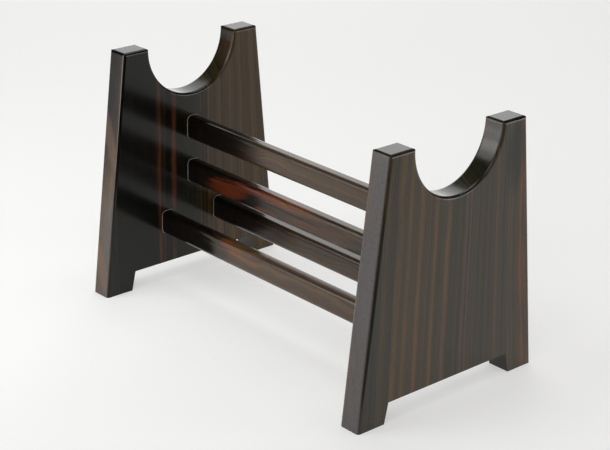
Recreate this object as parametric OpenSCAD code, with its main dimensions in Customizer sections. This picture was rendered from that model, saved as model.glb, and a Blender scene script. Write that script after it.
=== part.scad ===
// Cradle stand: two notched end panels held apart by four rails, each rail end pinned with two blind dowels.
// The origin is on the floor, midway between the panels. X runs along the rails, Y across them, Z is up.

/* [Overall] */
// Length over the outer faces of the two end panels
stand_len = 235; // [180:1:300]
// Height of the end panels
stand_h = 150; // [145:1:180]

/* [End panels] */
// Thickness of an end panel
panel_t = 14; // [13:0.5:18]
// Width of an end panel at the floor
foot_span = 133; // [128:1:150]
// Width of an end panel over its two prongs
top_span = 100; // [94:1:110]
// Radius of the rounded edges of an end panel
edge_r = 1.8; // [0.8:0.1:2.5]

/* [Cradle notch] */
// Radius of the half-round notch
notch_r = 32; // [26:0.5:34]
// Height of the prong tops above the centre of the notch
notch_drop = 1; // [1:0.5:3]

/* [Foot arch] */
// Height of the arch between the two feet
arch_h = 12; // [8:0.5:18]
// Width of a foot at the floor
foot_w = 18.7; // [14:0.1:24]
// Lean of the arch's two side walls, in degrees from upright
arch_lean = 12.5; // [4:0.5:20]

/* [Rails] */
// Thickness of a rail, front to back
rail_w = 8.5; // [7.5:0.5:11]
// Height of a rail
rail_h = 14.2; // [13:0.1:17]
// Radius of the rounded long edges of a rail
rail_r = 2.7; // [0.8:0.1:3.2]
// Height of the centre of the upper rail
upper_z = 95.5; // [92:0.5:100]
// Height of the centre of the middle rail
middle_z = 67.5; // [62:0.5:72]
// Height of the centre of the two lower rails
lower_z = 38.6; // [34:0.1:44]
// Distance of each lower rail from the middle of the stand
lower_y = 20; // [14:0.5:26]

/* [Dowels] */
// Diameter of a dowel
dowel_d = 4; // [3:0.5:4.5]
// Distance between the two dowels in a rail end
dowel_pitch = 6.4; // [5.6:0.1:7]
// Depth of a dowel in the end panel
dowel_in_panel = 8; // [6:0.5:9]
// Depth of a dowel in the rail
dowel_in_rail = 10; // [8:0.5:16]

/* [Hidden] */
$fn = 96;

past = 1;                                  // how far a cut runs past the surface it opens
glue_room = 0.5;                           // empty depth beyond each end of a dowel
dowel_chamfer = 0.5;
rail_len = stand_len - 2 * panel_t;
panel_x = (stand_len - panel_t) / 2;       // from the middle of the stand to the middle of a panel
notch_z = stand_h - notch_drop;
side_lean = atan2((foot_span - top_span) / 2, stand_h);
side_out = [cos(side_lean), sin(side_lean)];   // outward direction of a panel's sloping side, as [y, z]

// Each rail's centre, as [y, z], seen along the stand
UPPER = [0, upper_z];
MIDDLE = [0, middle_z];
LOWER_FRONT = [-lower_y, lower_z];
LOWER_REAR = [lower_y, lower_z];
RAILS = [UPPER, MIDDLE, LOWER_FRONT, LOWER_REAR];

panel_wood = [0.17, 0.13, 0.11];
rail_wood = [0.22, 0.14, 0.10];
dowel_wood = [0.80, 0.66, 0.45];

// Half the width of a panel at height z
function half_width(z) = foot_span / 2 - z * tan(side_lean);

// ---- Rounded edges -------------------------------------------------------------------------------

// What is cut off an outline's corner to round it. The arc is centred on c and
// touches the corner's two sides in the directions a and b.
module corner_cut(c, a, b, r) {
    reach = r + past;
    difference() {
        translate(c) polygon([[0, 0], a * reach, (a + b) * reach / (1 + a * b), b * reach]);
        translate(c) circle(r);
    }
}

// The same for a square corner at the origin, with the material towards +x and +y
module square_corner_cut(r) {
    corner_cut([r, r], [-1, 0], [0, -1], r);
}

// The cuts that round both long edges of a board's side, from p to q. The board lies flat,
// t thick and centred on z = 0, with its material to the left of the line from p to q.
module side_edges_cut(p, q, t, r) {
    run = q - p;
    translate([p.x, p.y, 0])
        rotate([0, 0, atan2(run.y, run.x)])
            translate([-past, 0, 0])
                rotate([0, 90, 0])
                    linear_extrude(norm(run) + 2 * past)
                        for (flip = [0, 1])
                            mirror([flip, 0])
                                translate([-t / 2, 0])
                                    square_corner_cut(r);
}

// The cuts that round both mouths of a round hole of radius hole_r through such a board
module hole_edges_cut(hole_r, t, r) {
    for (flip = [0, 1])
        mirror([0, 0, flip])
            rotate_extrude()
                translate([hole_r, -t / 2])
                    square_corner_cut(r);
}

// ---- End panels ----------------------------------------------------------------------------------

// A panel's outline in [y, z]: a trapezoid with a half-round notch on top and an arch between its feet
module panel_outline() {
    arch_foot = foot_span / 2 - foot_w;
    arch_top = arch_foot - arch_h * tan(arch_lean);
    prong_arc = [half_width(stand_h - edge_r) - edge_r / side_out.x, stand_h - edge_r];
    notch_arc_z = stand_h - edge_r - notch_z;
    notch_arc = [sqrt((notch_r + edge_r) ^ 2 - notch_arc_z ^ 2), stand_h - edge_r];
    to_notch = ([0, notch_z] - notch_arc) / (notch_r + edge_r);
    difference() {
        polygon([
            [-foot_span / 2, 0], [-arch_foot, 0], [-arch_top, arch_h],
            [arch_top, arch_h], [arch_foot, 0], [foot_span / 2, 0],
            [top_span / 2, stand_h], [-top_span / 2, stand_h],
        ]);
        translate([0, notch_z]) circle(notch_r);
        for (flip = [0, 1])
            mirror([flip, 0]) {
                corner_cut(prong_arc, [0, 1], side_out, edge_r);
                corner_cut(notch_arc, [0, 1], to_notch, edge_r);
            }
    }
}

// A panel lying flat, centred on z = 0, with its visible edges rounded on both faces
module flat_panel() {
    foot = [foot_span / 2, 0];
    shoulder = [top_span / 2, stand_h];
    difference() {
        linear_extrude(panel_t, center = true) panel_outline();
        side_edges_cut(foot, shoulder, panel_t, edge_r);
        side_edges_cut([-shoulder.x, shoulder.y], [-foot.x, foot.y], panel_t, edge_r);
        side_edges_cut(shoulder, [-shoulder.x, shoulder.y], panel_t, edge_r);
        translate([0, notch_z, 0]) hole_edges_cut(notch_r, panel_t, edge_r);
    }
}

// The end panel on one side of the stand (side is -1 or 1), bored from its inner face for every dowel
module end_panel(side) {
    color(panel_wood)
        difference() {
            translate([side * panel_x, 0, 0]) rotate([90, 0, 90]) flat_panel();
            for (rail = RAILS)
                dowel_bores(side, rail, dowel_in_panel + glue_room, past);
        }
}

module left_end_panel() {
    end_panel(-1);
}

module right_end_panel() {
    end_panel(1);
}

// ---- Rails ---------------------------------------------------------------------------------------

module rail_section() {
    difference() {
        square([rail_w, rail_h], center = true);
        for (flip_y = [0, 1], flip_z = [0, 1])
            mirror([flip_y, 0])
                mirror([0, flip_z])
                    translate([-rail_w / 2, -rail_h / 2])
                        square_corner_cut(rail_r);
    }
}

// A rail centred on place, as [y, z], bored from both ends for its dowels
module rail(place) {
    color(rail_wood)
        difference() {
            translate([0, place[0], place[1]])
                rotate([90, 0, 90])
                    linear_extrude(rail_len, center = true)
                        rail_section();
            for (side = [-1, 1])
                dowel_bores(side, place, past, dowel_in_rail + glue_room);
        }
}

module upper_rail() {
    rail(UPPER);
}

module middle_rail() {
    rail(MIDDLE);
}

module lower_front_rail() {
    rail(LOWER_FRONT);
}

module lower_rear_rail() {
    rail(LOWER_REAR);
}

// ---- Dowels --------------------------------------------------------------------------------------

// Puts its children at the two dowel places in one end of a rail, on the joint's face, pointing outwards
module at_dowels(side, place) {
    for (step = [-1, 1])
        translate([side * rail_len / 2, place[0], place[1] + step * dowel_pitch / 2])
            rotate([0, side * 90, 0])
                children();
}

// The two bores across one joint, this deep in the panel and in the rail
module dowel_bores(side, place, in_panel, in_rail) {
    at_dowels(side, place)
        translate([0, 0, -in_rail])
            cylinder(h = in_rail + in_panel, d = dowel_d);
}

module dowel() {
    c = dowel_chamfer;
    r = dowel_d / 2;
    rotate_extrude()
        polygon([
            [0, -dowel_in_rail], [r - c, -dowel_in_rail], [r, c - dowel_in_rail],
            [r, dowel_in_panel - c], [r - c, dowel_in_panel], [0, dowel_in_panel],
        ]);
}

// All the dowels of one rail
module rail_dowels(place) {
    color(dowel_wood)
        for (side = [-1, 1])
            at_dowels(side, place)
                dowel();
}

module upper_rail_dowels() {
    rail_dowels(UPPER);
}

module middle_rail_dowels() {
    rail_dowels(MIDDLE);
}

module lower_front_rail_dowels() {
    rail_dowels(LOWER_FRONT);
}

module lower_rear_rail_dowels() {
    rail_dowels(LOWER_REAR);
}

left_end_panel();
right_end_panel();
upper_rail();
middle_rail();
lower_front_rail();
lower_rear_rail();
upper_rail_dowels();
middle_rail_dowels();
lower_front_rail_dowels();
lower_rear_rail_dowels();
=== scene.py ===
import math

import bpy
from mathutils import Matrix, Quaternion, Vector


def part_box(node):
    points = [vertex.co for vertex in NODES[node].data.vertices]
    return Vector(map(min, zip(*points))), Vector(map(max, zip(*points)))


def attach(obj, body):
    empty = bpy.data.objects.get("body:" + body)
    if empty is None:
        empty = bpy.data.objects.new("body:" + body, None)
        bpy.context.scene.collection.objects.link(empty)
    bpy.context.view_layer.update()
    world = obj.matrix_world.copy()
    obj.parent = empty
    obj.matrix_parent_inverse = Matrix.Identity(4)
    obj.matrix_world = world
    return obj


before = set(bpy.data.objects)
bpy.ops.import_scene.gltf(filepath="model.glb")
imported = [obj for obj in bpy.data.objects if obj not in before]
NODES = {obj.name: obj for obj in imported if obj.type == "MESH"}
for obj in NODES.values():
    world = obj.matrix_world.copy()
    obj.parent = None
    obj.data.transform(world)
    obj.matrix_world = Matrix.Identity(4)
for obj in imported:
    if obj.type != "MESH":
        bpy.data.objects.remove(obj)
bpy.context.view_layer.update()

MM = 0.001

# ---- Camera --------------------------------------------------------------------------------------

AZIMUTH = math.radians(48.04)        # how far the camera stands round to the right of the front
ELEVATION = math.radians(22.16)
ROLL = math.radians(1.04)
DISTANCE = 1.013
AIM = Vector((0.0028, -0.0029, 0.0651))
LENS = 104.8


def add_camera():
    forward = Vector((
        -math.sin(AZIMUTH) * math.cos(ELEVATION),
        math.cos(AZIMUTH) * math.cos(ELEVATION),
        -math.sin(ELEVATION),
    ))
    data = bpy.data.cameras.new("camera")
    data.lens = LENS
    data.sensor_width = 36.0
    data.dof.use_dof = False
    data.clip_start = 0.01
    camera = bpy.data.objects.new("camera", data)
    bpy.context.scene.collection.objects.link(camera)
    camera.rotation_mode = "QUATERNION"
    camera.rotation_quaternion = forward.to_track_quat("-Z", "Y") @ Quaternion((0, 0, 1), ROLL)
    camera.location = AIM - forward * DISTANCE
    bpy.context.scene.camera = camera


# ---- Studio --------------------------------------------------------------------------------------

WORLD_GLOW = 0.01
FLOOR_HALF = 6.0
FLOOR_GLOW = 0.455
FLAG_NEAR = 0.165                    # how far the card's edges lie from the middle, towards the camera
FLAG_FAR = 1.4
FLAG_HALF = 1.2                      # half its width
FLAG_LIFT = 0.002


def add_softbox(name, place, aim, width, height, radiance, colour=(1.0, 1.0, 1.0), spread=180):
    """An evenly lit rectangle at place, facing aim, that the gloss reflects but the camera doesn't see.
    Its light fans out over spread degrees."""
    data = bpy.data.lights.new(name, "AREA")
    data.shape = "RECTANGLE"
    data.size = width
    data.size_y = height
    data.energy = radiance * math.pi * width * height
    data.color = colour
    data.spread = math.radians(spread)
    lamp = bpy.data.objects.new(name, data)
    bpy.context.scene.collection.objects.link(lamp)
    lamp.location = place
    lamp.rotation_mode = "QUATERNION"
    lamp.rotation_quaternion = (Vector(aim) - Vector(place)).to_track_quat("-Z", "Y")
    lamp.visible_camera = False


def add_lights():
    add_softbox("back_left_screen", (-1.22, 0.74, 0.60), (0, 0, 0.30), 1.35, 1.2, 1.7)
    add_softbox("overhead_softbox", (-0.10, 0.45, 1.40), (0, 0, 0), 0.9, 0.9, 2.2)
    add_softbox("front_left_screen", (-0.275, -0.42, 0.24), (-0.275, 0.0, 0.24), 0.45, 0.36, 1.3,
                colour=(0.96, 1.0, 1.0), spread=130)
    add_softbox("front_left_softbox", (-0.35, -0.75, 0.55), (0.0, 0.0, 0.05), 0.7, 0.5, 2.6)
    add_softbox("front_lamp", (-0.075, -0.45, 0.07), (-0.10, 0.0, 0.15), 0.14, 0.14, 1.0, spread=60)
    add_softbox("front_right_softbox", (0.55, -0.75, 1.25), (0, 0, 0), 1.0, 0.8, 2.0)
    add_softbox("right_screen", (0.95, 0.10, 0.28), (0.1, 0, 0.1), 0.6, 0.4, 0.8, colour=(1.0, 0.96, 0.91))
    add_softbox("back_right_screen", (0.90, 0.75, 0.24), (0.1, 0, 0.15), 0.5, 0.40, 4.5)
    world = bpy.data.worlds.new("studio")
    world.use_nodes = True
    bpy.context.scene.world = world
    background = world.node_tree.nodes["Background"]
    background.inputs["Color"].default_value = (1.0, 1.0, 1.0, 1.0)
    background.inputs["Strength"].default_value = WORLD_GLOW


def add_sheet(name, corners, material):
    """A flat four-cornered piece of the studio."""
    mesh = bpy.data.meshes.new(name)
    mesh.from_pydata(corners, [], [(0, 1, 2, 3)])
    mesh.materials.append(material)
    sheet = bpy.data.objects.new(name, mesh)
    bpy.context.scene.collection.objects.link(sheet)
    return sheet


def add_floor():
    """A sheet of pale translucent paper, lit softly from below as well as from the softboxes."""
    nodes = Shader("floor_paper")
    mottle = nodes.noise(nodes.place(scale=(3, 3, 3)))
    colour = nodes.mix(mottle, (0.58, 0.58, 0.575), (0.60, 0.60, 0.595))
    nodes.finish(colour, roughness=0.60, specular=0.0, glow=FLOOR_GLOW)
    half = FLOOR_HALF
    corners = [(-half, -half, 0), (half, -half, 0), (half, half, 0), (-half, half, 0)]
    floor = add_sheet("floor", corners, nodes.material)


def add_flag():
    """A black card lying in front of the stand, which only the gloss sees. It gives the lacquer
    something dark to reflect."""
    nodes = Shader("flag_felt")
    nap = nodes.noise(nodes.place(scale=(60, 60, 60)), detail=3)
    colour = nodes.mix(nap, (0.002, 0.002, 0.002), (0.004, 0.004, 0.004))
    nodes.finish(colour, roughness=0.9, specular=0.05)
    towards = Vector((math.sin(AZIMUTH), -math.cos(AZIMUTH), 0))
    across = Vector((math.cos(AZIMUTH), math.sin(AZIMUTH), 0))
    near = towards * FLAG_NEAR + Vector((0, 0, FLAG_LIFT))
    far = towards * FLAG_FAR + Vector((0, 0, FLAG_LIFT))
    side = across * FLAG_HALF
    flag = add_sheet("flag", [near - side, far - side, far + side, near + side], nodes.material)
    flag.visible_camera = False
    flag.visible_diffuse = False
    flag.visible_shadow = False


# ---- Shader building -----------------------------------------------------------------------------

LACQUER_IOR = 1.40
GLOW_COLOUR = (1.0, 0.995, 0.98)


class Shader:
    """A material's node tree, with one short call for each kind of node."""

    def __init__(self, name):
        self.material = bpy.data.materials.new(name)
        self.material.use_nodes = True
        self.tree = self.material.node_tree
        self.tree.nodes.clear()

    def add(self, kind, **settings):
        node = self.tree.nodes.new("ShaderNode" + kind)
        for key, value in settings.items():
            setattr(node, key, value)
        return node

    def feed(self, socket, value):
        if isinstance(value, bpy.types.NodeSocket):
            self.tree.links.new(value, socket)
        elif isinstance(value, (tuple, list)) and socket.type == "RGBA":
            socket.default_value = (*value, 1.0)
        else:
            socket.default_value = value

    def place(self, scale=(1, 1, 1), offset=(0, 0, 0)):
        """Position in the object's own frame, scaled and then shifted."""
        mapping = self.add("Mapping")
        self.feed(mapping.inputs["Vector"], self.add("TexCoord").outputs["Object"])
        mapping.inputs["Scale"].default_value = scale
        mapping.inputs["Location"].default_value = offset
        return mapping.outputs["Vector"]

    def maths(self, operation, a, b=0.0, c=0.0):
        node = self.add("Math", operation=operation)
        for socket, value in zip(node.inputs, (a, b, c)):
            self.feed(socket, value)
        return node.outputs[0]

    def ramp(self, value, low, high, to_low=0.0, to_high=1.0):
        """A smooth step from to_low to to_high as value goes from low to high."""
        node = self.add("MapRange", interpolation_type="SMOOTHSTEP")
        for key, number in zip(("Value", "From Min", "From Max", "To Min", "To Max"),
                               (value, low, high, to_low, to_high)):
            self.feed(node.inputs[key], number)
        return node.outputs["Result"]

    def noise(self, vector, scale=1.0, detail=2.0, roughness=0.5):
        node = self.add("TexNoise")
        self.feed(node.inputs["Vector"], vector)
        self.feed(node.inputs["Scale"], scale)
        self.feed(node.inputs["Detail"], detail)
        self.feed(node.inputs["Roughness"], roughness)
        return node.outputs["Fac"]

    def layer(self, along, rate_along, across, rate_across, seed, detail=2.0, roughness=0.5):
        """Noise that changes at these rates along and across the grain."""
        x = self.maths("MULTIPLY", along, rate_along)
        y = self.maths("MULTIPLY", across, rate_across)
        return self.noise(self.join(x, y, seed), detail=detail, roughness=roughness)

    def centred(self, noise):
        return self.maths("SUBTRACT", noise, 0.5)

    def add_share(self, total, value, share):
        return self.maths("MULTIPLY_ADD", value, share, total)

    def noise_along(self, value, scale=1.0, detail=2.0, roughness=0.5):
        node = self.add("TexNoise", noise_dimensions="1D")
        self.feed(node.inputs["W"], value)
        self.feed(node.inputs["Scale"], scale)
        self.feed(node.inputs["Detail"], detail)
        self.feed(node.inputs["Roughness"], roughness)
        return node.outputs["Fac"]

    def shades(self, value, stops):
        """A colour that goes smoothly through the stops, each (value, colour)."""
        node = self.add("ValToRGB")
        self.feed(node.inputs["Fac"], value)
        marks = node.color_ramp.elements
        while len(marks) < len(stops):
            marks.new(0.5)
        for mark, (place, colour) in zip(marks, stops):
            mark.position = place
            mark.color = (*colour, 1.0)
        return node.outputs["Color"]

    def split(self, vector):
        node = self.add("SeparateXYZ")
        self.feed(node.inputs[0], vector)
        return node.outputs

    def join(self, x, y, z):
        node = self.add("CombineXYZ")
        for socket, value in zip(node.inputs, (x, y, z)):
            self.feed(socket, value)
        return node.outputs[0]

    def mix(self, factor, a, b, blend="MIX"):
        node = self.add("Mix", data_type="RGBA", blend_type=blend)
        self.feed(node.inputs["Factor"], factor)
        self.feed(node.inputs[6], a)
        self.feed(node.inputs[7], b)
        return node.outputs[2]

    def bump(self, height, distance, strength=1.0):
        node = self.add("Bump")
        self.feed(node.inputs["Height"], height)
        self.feed(node.inputs["Distance"], distance)
        self.feed(node.inputs["Strength"], strength)
        return node.outputs["Normal"]

    def finish(self, colour, roughness, specular=0.5, normal=None, coat=0.0, coat_roughness=0.1,
               coat_normal=None, glow=0.0):
        shader = self.add("BsdfPrincipled")
        self.feed(shader.inputs["Base Color"], colour)
        self.feed(shader.inputs["Roughness"], roughness)
        self.feed(shader.inputs["Specular IOR Level"], specular)
        self.feed(shader.inputs["Coat Weight"], coat)
        self.feed(shader.inputs["Coat Roughness"], coat_roughness)
        self.feed(shader.inputs["Coat IOR"], LACQUER_IOR)
        self.feed(shader.inputs["Emission Color"], GLOW_COLOUR)
        self.feed(shader.inputs["Emission Strength"], glow)
        if normal:
            self.feed(shader.inputs["Normal"], normal)
        if coat_normal:
            self.feed(shader.inputs["Coat Normal"], coat_normal)
        output = self.add("OutputMaterial")
        self.feed(output.inputs["Surface"], shader.outputs["BSDF"])


# ---- Ebony ---------------------------------------------------------------------------------------
# The wood's coordinates are millimetres: a along the grain, c across the stripes and d the third way.
# A tone of 0 is the darkest wood and 1 the palest, and a list of shades turns tones into colours.

WARM = [(0.0, (0.004, 0.006, 0.0045)), (0.35, (0.028, 0.024, 0.015)), (0.6, (0.062, 0.041, 0.021)),
        (1.0, (0.125, 0.060, 0.023))]
DARK = [(0.0, (0.0010, 0.0010, 0.0003)), (0.2, (0.0055, 0.0050, 0.0018)), (0.5, (0.013, 0.0095, 0.003)),
        (1.0, (0.080, 0.044, 0.0155))]
BROWN = [(0.0, (0.0025, 0.0015, 0.0006)), (0.45, (0.036, 0.021, 0.011)), (1.0, (0.120, 0.071, 0.040))]
RED = [(0.0, (0.070, 0.013, 0.003)), (0.6, (0.135, 0.043, 0.013)), (1.0, (0.150, 0.062, 0.020))]
ORANGE = [(0.0, (0.085, 0.024, 0.007)), (0.6, (0.140, 0.056, 0.020)), (1.0, (0.150, 0.066, 0.024))]
EDGE = [(0.0, (0.004, 0.002, 0.001)), (0.35, (0.045, 0.024, 0.011)), (0.6, (0.080, 0.050, 0.031)),
        (0.85, (0.082, 0.069, 0.064)), (1.0, (0.094, 0.085, 0.083))]
TINTS = [(0.35, (1.0, 1.05, 0.78)), (0.65, (0.96, 0.96, 1.22))]    # multiply the stripes' colours
PORE = (0.0015, 0.001, 0.0008)
END_SHADE = (0.33, 0.42, 0.30)        # multiplies the colour of a panel's top and notch
EDGE_FLAME = (0.15, 0.085, 0.05)
ARCH_PAINTED_SHADE = (0.004, 0.003, 0.003)     # painted shade on the side walls of the foot arch
ARCH_TOP = (13, 16)                   # millimetres up, just above the arch
ARCH_SIDE = (52, 58)                  # millimetres from the middle, between the arch and the outer edge

# How fast each layer of the figure changes per millimetre, as (along the grain, across it)
WOBBLE_RATE = (0.05, 0.12)
FADE_RATE = (0.02, 0.2)
FRAY_RATE = (0.05, 0.6)
FIBRE_RATE = (0.035, 1.6)
PORE_RATE = (0.2, 3.4)
CLOUD_RATE = (0.03, 0.35)
LINE_RATE = 0.04
LINE_SLANT = 0.4
SWAY_RATE_ACROSS = 0.03

# How fast they change per millimetre across the growth rings
BROAD_RATE = 0.09
FINE_RATE = 0.45
TINT_RATE = 0.3

PEEL_RATE = 280                       # the lacquer's orange peel, per metre
PEEL_HEIGHT = 0.00003
GRAIN_HEIGHT = 0.00004


def stripes(nodes, across, lines):
    """Sum of soft stripes, each (middle, half width, strength), along a coordinate in millimetres."""
    total = 0.0
    for middle, half, strength in lines:
        far = nodes.maths("ABSOLUTE", nodes.maths("SUBTRACT", across, middle))
        total = nodes.maths("ADD", nodes.ramp(far, 0.0, half, strength, 0.0), total)
    return total


def lenses(nodes, run, rise, fray, shapes):
    """Sum of lens-shaped patches with frayed edges. Each is (place, half size, tilt, strength)."""
    total = 0.0
    for (x, y), (half_x, half_y), tilt, strength in shapes:
        far_x = nodes.maths("SUBTRACT", run, x)
        far_y = nodes.maths("MULTIPLY_ADD", far_x, -tilt, nodes.maths("SUBTRACT", rise, y))
        u = nodes.maths("DIVIDE", far_x, half_x)
        v = nodes.maths("DIVIDE", far_y, half_y)
        far = nodes.maths("MULTIPLY_ADD", u, u, nodes.maths("MULTIPLY", v, v))
        far = nodes.maths("MULTIPLY_ADD", fray, 0.8, far)
        total = nodes.maths("ADD", nodes.ramp(far, 0.1, 1.3, strength, 0.0), total)
    return total


def arch_shade_mask(nodes, a, c):
    """Where the foot arch's side walls get painted shade: 1 low down between the feet, 0 elsewhere."""
    low = nodes.ramp(a, *ARCH_TOP, 1.0, 0.0)
    inside = nodes.ramp(nodes.maths("ABSOLUTE", c), *ARCH_SIDE, 1.0, 0.0)
    return nodes.maths("MULTIPLY", low, inside)


def edge_cut(nodes, a, c, d, seed, edge):
    """The colour of a panel's narrow edges, where the saw met the stripes flat. Its flames are
    lens-shaped patches in height and depth from the panel's high x face. Where the base's tones
    differ, the edge darkens with height as painted shade, and the foot arch's side walls get painted
    shade."""
    cloud = nodes.layer(a, CLOUD_RATE[0], d, CLOUD_RATE[1], seed + 20, detail=3, roughness=0.6)
    cloud = nodes.centred(cloud)
    slanted = nodes.add_share(d, a, LINE_SLANT)
    line = nodes.layer(a, LINE_RATE, slanted, 1.0, seed + 30, detail=4, roughness=0.7)
    line = nodes.centred(line)
    fray = nodes.maths("ADD", cloud, line)
    # Painted shade: where low and high tones differ, as on the left panel, the edge darkens towards the
    # top, and slant carries it into the notch walls.
    low_tone, high_tone, from_z, to_z = edge["base"]
    height = nodes.add_share(a, c, -edge["slant"])
    tone = nodes.ramp(height, from_z, to_z, low_tone, high_tone)
    tone = nodes.add_share(tone, d, edge["deepen"])
    tone = nodes.add_share(tone, cloud, 0.5)
    tone = nodes.add_share(tone, line, 0.6)
    flame = nodes.ramp(lenses(nodes, a, d, fray, edge["flames"]), 0.0, 1.0)
    colour = nodes.mix(flame, nodes.shades(tone, EDGE), EDGE_FLAME)
    # Painted shade: low down between the feet, the arch's side walls turn near black.
    return nodes.mix(arch_shade_mask(nodes, a, c), colour, ARCH_PAINTED_SHADE)


def across_rings(nodes, a, c, d, look):
    """How far a point lies across the growth rings. They fan out, lean with depth, sway and wobble."""
    seed = look["seed"]
    slow = nodes.centred(nodes.layer(a, look["sway_rate"], c, SWAY_RATE_ACROSS, seed, detail=1))
    quick = nodes.centred(nodes.layer(a, WOBBLE_RATE[0], c, WOBBLE_RATE[1], seed + 5))
    fan = nodes.add_share(look["fan"], c, look["fan_grow"])
    spread = nodes.maths("MULTIPLY_ADD", nodes.maths("SUBTRACT", a, look["fan_from"]), fan, 1.0)
    ring = nodes.maths("MULTIPLY", spread, c)
    ring = nodes.add_share(ring, d, look["lean"])
    ring = nodes.add_share(ring, slow, look["sway"])
    return nodes.add_share(ring, quick, look["wobble"])


def fibres(nodes, a, ring, d):
    """The fine streaks of the grain, from 0 to 1."""
    along = nodes.maths("MULTIPLY", a, FIBRE_RATE[0])
    across = nodes.maths("MULTIPLY", ring, FIBRE_RATE[1])
    deep = nodes.maths("MULTIPLY", d, FIBRE_RATE[1])
    return nodes.noise(nodes.join(along, across, deep), detail=4, roughness=0.7)


def pore_dashes(nodes, a, c, d):
    """1 in the short dark pores, 0 between them."""
    along = nodes.maths("MULTIPLY", a, PORE_RATE[0])
    across = nodes.maths("MULTIPLY", c, PORE_RATE[1])
    deep = nodes.maths("MULTIPLY", d, PORE_RATE[1])
    return nodes.ramp(nodes.noise(nodes.join(along, across, deep), detail=1), 0.60, 0.72)


def ring_noise(nodes, ring, offset, rate, detail, roughness=0.5):
    shifted = nodes.maths("ADD", ring, offset)
    return nodes.noise_along(shifted, scale=rate, detail=detail, roughness=roughness)


def figure_colour(nodes, a, c, ring, fibre, look):
    """The striped figure of the wide faces, with its red or orange flames."""
    seed = look["seed"]
    broad = ring_noise(nodes, ring, seed * 40, BROAD_RATE, 1)
    fine = ring_noise(nodes, ring, seed * 70, FINE_RATE, 3, 0.75)
    tint = ring_noise(nodes, ring, seed * 90, TINT_RATE, 2, 0.6)
    fade = nodes.layer(a, FADE_RATE[0], ring, FADE_RATE[1], seed + 9)
    fray = nodes.centred(nodes.layer(a, FRAY_RATE[0], c, FRAY_RATE[1], seed, detail=4, roughness=0.6))
    shadow = lenses(nodes, a, c, fray, look["shadows"])

    low_tone, high_tone, from_place, to_place = look["base"]
    place = a if look["base_along"] else ring
    tone = nodes.ramp(place, from_place, to_place, low_tone, high_tone)
    tone = nodes.add_share(tone, nodes.centred(broad), look["broad"])
    strength = nodes.ramp(fade, 0.3, 0.65, 0.55, 1.15)
    figure = nodes.maths("MULTIPLY", stripes(nodes, ring, look["stripes"]), strength)
    tone = nodes.maths("ADD", tone, figure)
    tone = nodes.add_share(tone, nodes.centred(fine), look["fine"])
    tone = nodes.add_share(tone, nodes.centred(fibre), look["fibre"])
    tone = nodes.maths("SUBTRACT", tone, shadow)

    red = stripes(nodes, ring, look["red_stripes"])
    red = nodes.maths("ADD", red, lenses(nodes, a, c, fray, look["flames"]))
    red = nodes.maths("SUBTRACT", red, shadow)
    red = nodes.maths("MULTIPLY", red, nodes.ramp(fine, 0.3, 0.6, 0.45, 1.0))
    red = nodes.maths("MULTIPLY", red, nodes.ramp(fade, 0.3, 0.6, 0.35, 1.0))

    colour = nodes.mix(1.0, nodes.shades(tone, look["shades"]), nodes.shades(tint, TINTS), "MULTIPLY")
    return nodes.mix(nodes.ramp(red, 0.0, 1.0), colour, nodes.shades(tone, look["flame_shades"]))


def cut_colour(nodes, colour, a, c, d, look):
    """Adds a panel's narrow edges, top and notch, found by which way each faces."""
    facing = nodes.split(nodes.add("TexCoord").outputs["Normal"])
    side = nodes.ramp(nodes.maths("ABSOLUTE", facing["Y"]), 0.75, 0.95)
    end = nodes.ramp(nodes.maths("ABSOLUTE", facing["Z"]), 0.15, 0.70)
    colour = nodes.mix(side, colour, edge_cut(nodes, a, c, d, look["seed"], look["edge"]))
    return nodes.mix(end, colour, END_SHADE, "MULTIPLY")


def ebony(node, axes, origin, look):
    """Lacquered striped ebony. axes names the directions of a, c and d, which start at origin."""
    nodes = Shader("ebony_" + node)
    seed = look["seed"]
    shift = tuple(-value / MM for value in origin)
    xyz = nodes.split(nodes.place(scale=(1 / MM,) * 3, offset=shift))
    a, c, d = (xyz["XYZ".index(letter)] for letter in axes)

    ring = across_rings(nodes, a, c, d, look)
    fibre = fibres(nodes, a, ring, d)
    pores = pore_dashes(nodes, a, c, d)
    colour = figure_colour(nodes, a, c, ring, fibre, look)
    if look["edge"]:
        colour = cut_colour(nodes, colour, a, c, d, look)
    colour = nodes.mix(nodes.maths("MULTIPLY", pores, 0.5), colour, PORE)

    roughness = nodes.ramp(fibre, 0.2, 0.8, 0.42, 0.60)
    wood_height = nodes.maths("SUBTRACT", fibre, nodes.maths("MULTIPLY", pores, 0.8))
    peel = nodes.noise(nodes.place(scale=(PEEL_RATE,) * 3, offset=(seed, seed, seed)))
    nodes.finish(
        colour, roughness, specular=0.03, normal=nodes.bump(wood_height, GRAIN_HEIGHT, 0.5),
        coat=look["coat"], coat_roughness=look["gloss"], coat_normal=nodes.bump(peel, PEEL_HEIGHT, 0.12),
    )
    paint(node, nodes.material)


def paint(node, material):
    mesh = NODES[node].data
    mesh.materials.clear()
    mesh.materials.append(material)


# A look's base is (first tone, last tone, from, to) across a panel's rings or along a rail. A stripe
# is (middle, half width, strength), and a flame or shadow is (place, half size, tilt, strength).

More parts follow.
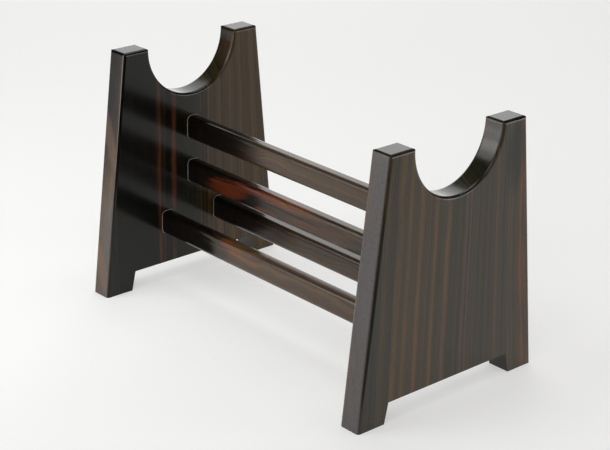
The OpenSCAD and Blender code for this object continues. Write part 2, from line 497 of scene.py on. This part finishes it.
PANEL = dict(
    fan=0.0011, fan_grow=0.000013, fan_from=75, lean=0.42, sway=3.0, sway_rate=0.012, wobble=1.5,
    broad=0.25, fine=0.6, fibre=0.45, gloss=0.19, coat=1.0, shades=WARM, flame_shades=ORANGE,
    base_along=False, flames=[], shadows=[],
)
RAIL = dict(
    fan=0.0, fan_grow=0.0, fan_from=0, lean=0.3, sway=16.0, sway_rate=0.02, wobble=1.5,
    broad=0.5, fine=0.6, fibre=0.35, gloss=0.18, coat=1.0, shades=BROWN, flame_shades=RED,
    base_along=True, stripes=[], red_stripes=[], flames=[], shadows=[], edge=None,
)
PANEL_LOOKS = {
    "right_end_panel": dict(
        PANEL, seed=1.0, base=(0.32, 0.45, -58, -50),
        stripes=[(-66, 3, 0.25), (-51, 2, 0.2), (-42, 3.2, 0.5), (-38, 1.6, 0.15), (-34, 3.0, 0.42),
                 (-30.3, 1.4, 0.15), (-26.7, 3.0, 0.5), (-20.5, 1.6, 0.2), (-15.7, 3.0, 0.38),
                 (-11, 1.5, 0.15), (-6.2, 3.0, 0.42), (7.5, 1.6, 0.2), (10.5, 1.4, 0.2), (20, 1.6, 0.12),
                 (32, 2.0, 0.22), (42, 2.0, 0.2)],
        red_stripes=[(52.6, 5, 1.15)],
        shadows=[((132, 44), (24, 8), 0.0, 0.3)],
        edge=dict(slant=0.0, deepen=0.015, base=(1.1, 1.1, 90, 150),
                  flames=[((28, -14), (34, 5), 0.0, 0.4), ((132, -13), (34, 5), 0.0, 0.4)]),
    ),
    "left_end_panel": dict(
        PANEL, seed=2.0, fan=0.0006, fan_grow=0.00002, base=(0.02, 0.80, -22, 24), fine=0.9,
        gloss=0.16, coat=0.87, shades=DARK,
        stripes=[(-65.5, 3, 0.4), (-60.5, 2.5, 0.4), (12, 2, 0.3), (19, 2, 0.3), (29.5, 2, 0.25),
                 (38, 2, 0.2), (48, 3, 0.3)],
        red_stripes=[(-26.3, 3.2, 0.75), (-22.8, 2.6, 0.55), (-15.3, 3.4, 1.1)],
        # The edge's base falls from 0.92 to 0.24 towards the top: painted shade.
        edge=dict(slant=0.6, deepen=0.03, base=(0.92, 0.24, 86, 140),
                  flames=[((97, -8), (24, 6), -0.4, 0.4), ((20, -9), (24, 6), -0.4, 0.5)]),
    ),
}
RAIL_LOOKS = {
    "upper_rail": dict(
        RAIL, seed=3.0, base=(-0.15, 0.62, -72, -22),
        flames=[((-25, 2), (22, 4), 0.0, 0.3), ((-50, -6.3), (26, 1.3), 0.0, 0.7)]),
    "middle_rail": dict(
        RAIL, seed=4.0, base=(-0.15, 0.6, -60, -10),
        flames=[((-66, -0.5), (23, 7.5), 0.12, 1.05), ((-22, 5.2), (40, 4.2), 0.0, 1.2),
                ((-31, -5.2), (14, 2.6), 0.0, 1.1), ((14, -0.8), (34, 3.0), 0.11, 0.9)],
        shadows=[((-46, -3.8), (12, 2.2), 0.28, 0.9), ((-8, 1.0), (30, 0.8), -0.02, 0.3),
                 ((50, -4.5), (24, 2.0), 0.1, 0.3)]),
    "lower_front_rail": dict(
        RAIL, seed=5.0, gloss=0.11, base=(-0.15, 0.72, -72, -30),
        flames=[((-38, 4.4), (12, 3.4), -0.14, 1.1), ((-24, 2.4), (14, 2.6), -0.14, 0.9)]),
    "lower_rear_rail": dict(
        RAIL, seed=6.0, base=(-0.1, 0.6, -75, -20),
        flames=[((-75, 0), (25, 4), 0.0, 0.2)]),
}


def finish_panels():
    for node, look in PANEL_LOOKS.items():
        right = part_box(node)[1][0]
        ebony(node, "ZYX", (right, 0.0, 0.0), look)


def finish_rails():
    for node, look in RAIL_LOOKS.items():
        low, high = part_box(node)
        ebony(node, "XZY", (0.0, low[1], (low[2] + high[2]) / 2), look)


# ---- Seams ---------------------------------------------------------------------------------------

SEAM = 0.26 * MM          # how far the bead in a rail's corner with a panel reaches along each face
SEAM_ROOT = 0.1 * MM      # how deep it runs into the wood behind
RAIL_EDGE = 2.7 * MM      # radius of a rail's rounded long edges
ARC_STEPS = 8


def rail_outline(node, grow):
    """A rail's rounded section, moved outwards by grow, as (y, z) points."""
    low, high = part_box(node)
    points = []
    for turn in range(4):
        centre_y = high[1] - RAIL_EDGE if turn in (0, 3) else low[1] + RAIL_EDGE
        centre_z = high[2] - RAIL_EDGE if turn in (0, 1) else low[2] + RAIL_EDGE
        for step in range(ARC_STEPS + 1):
            angle = math.radians(90) * (turn + step / ARC_STEPS)
            y = centre_y + (RAIL_EDGE + grow) * math.cos(angle)
            z = centre_z + (RAIL_EDGE + grow) * math.sin(angle)
            points.append((y, z))
    return points


def seam_section():
    """The bead's closed section as (outwards from the rail, along the rail from the panel) points."""
    points = [(-SEAM_ROOT, SEAM)]
    for step in range(ARC_STEPS + 1):
        angle = math.radians(90) * step / ARC_STEPS
        points.append((SEAM - SEAM * math.cos(angle), SEAM - SEAM * math.sin(angle)))
    points.append((SEAM, -SEAM_ROOT))
    points.append((-SEAM_ROOT, -SEAM_ROOT))
    return points


def seam_loops(node, end_x, inward):
    """The rings of points round one end of a rail, one for each point of the bead's section."""
    return [
        [(end_x + inward * along, y, z) for y, z in rail_outline(node, out)]
        for out, along in seam_section()
    ]


def seam_faces(first, rings, around, inward):
    """The quads between neighbouring rings, numbered from vertex first."""
    faces = []
    for i in range(rings):
        here = first + i * around
        there = first + (i + 1) % rings * around
        for j in range(around):
            k = (j + 1) % around
            quad = (here + j, here + k, there + k, there + j)
            faces.append(quad if inward > 0 else quad[::-1])
    return faces


def add_seams(node, material):
    """The two beads of one rail, as one piece."""
    low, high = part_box(node)
    verts = []
    faces = []
    for end_x, inward in ((low[0], 1), (high[0], -1)):
        loops = seam_loops(node, end_x, inward)
        faces.extend(seam_faces(len(verts), len(loops), len(loops[0]), inward))
        for loop in loops:
            verts.extend(loop)
    mesh = bpy.data.meshes.new(node + "_seam")
    mesh.from_pydata(verts, [], faces)
    mesh.materials.append(material)
    for face in mesh.polygons:
        face.use_smooth = True
    seam = bpy.data.objects.new(node + "_seam", mesh)
    bpy.context.scene.collection.objects.link(seam)
    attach(seam, "root")


def finish_seams():
    nodes = Shader("seam_lacquer")
    smear_and_sheen = nodes.noise(nodes.place(scale=(700, 700, 120)), detail=3)
    # The bead is real lacquer, but its pale grey colour is painted highlight, the light caught along the
    # fillet.
    colour = nodes.mix(smear_and_sheen, (0.10, 0.09, 0.08), (0.30, 0.28, 0.25))
    roughness = nodes.ramp(smear_and_sheen, 0.2, 0.8, 0.3, 0.5)
    nodes.finish(colour, roughness=roughness, specular=0.5, normal=nodes.bump(smear_and_sheen, 0.00003, 0.4))
    for node in RAIL_LOOKS:
        add_seams(node, nodes.material)


def finish_dowels():
    nodes = Shader("beech")
    grain = nodes.noise(nodes.place(scale=(40, 900, 900)), detail=4)
    colour = nodes.mix(grain, (0.42, 0.27, 0.14), (0.60, 0.42, 0.24))
    nodes.finish(colour, roughness=0.6, normal=nodes.bump(grain, 0.0001, 0.5))
    for name in NODES:
        if name.endswith("_dowels"):
            paint(name, nodes.material)


add_camera()
bpy.context.scene.view_settings.view_transform = "Standard"
add_floor()
add_flag()
add_lights()
finish_panels()
finish_rails()
finish_seams()
finish_dowels()
